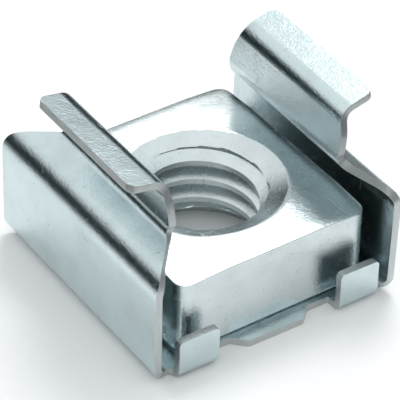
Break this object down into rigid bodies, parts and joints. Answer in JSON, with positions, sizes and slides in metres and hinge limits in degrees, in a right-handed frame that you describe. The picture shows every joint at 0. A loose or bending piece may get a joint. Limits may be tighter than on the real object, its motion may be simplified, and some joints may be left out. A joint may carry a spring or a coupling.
{
  "type": "cage nut",
  "caption": "Square nut held loosely in a folded spring-steel cage whose wings clip into a square rack hole.",
  "frame": {"origin": "middle of the footprint, on the underside of the base plate", "axes": "+Z along the thread, from the base plate up to the lips that clip behind the rack rail; the two wings stand at -X and +X, and the retaining tabs at -Y and +Y"},
  "size_m": [0.0124, 0.0126, 0.009],
  "materials": {
    "cage": "bright zinc plate on stamped spring steel",
    "square_nut": "bright zinc plate on a stamped block"
  },
  "bodies": {
    "root": {"cage": "cage", "square_nut": "square_nut"}
  },
  "joints": []
}
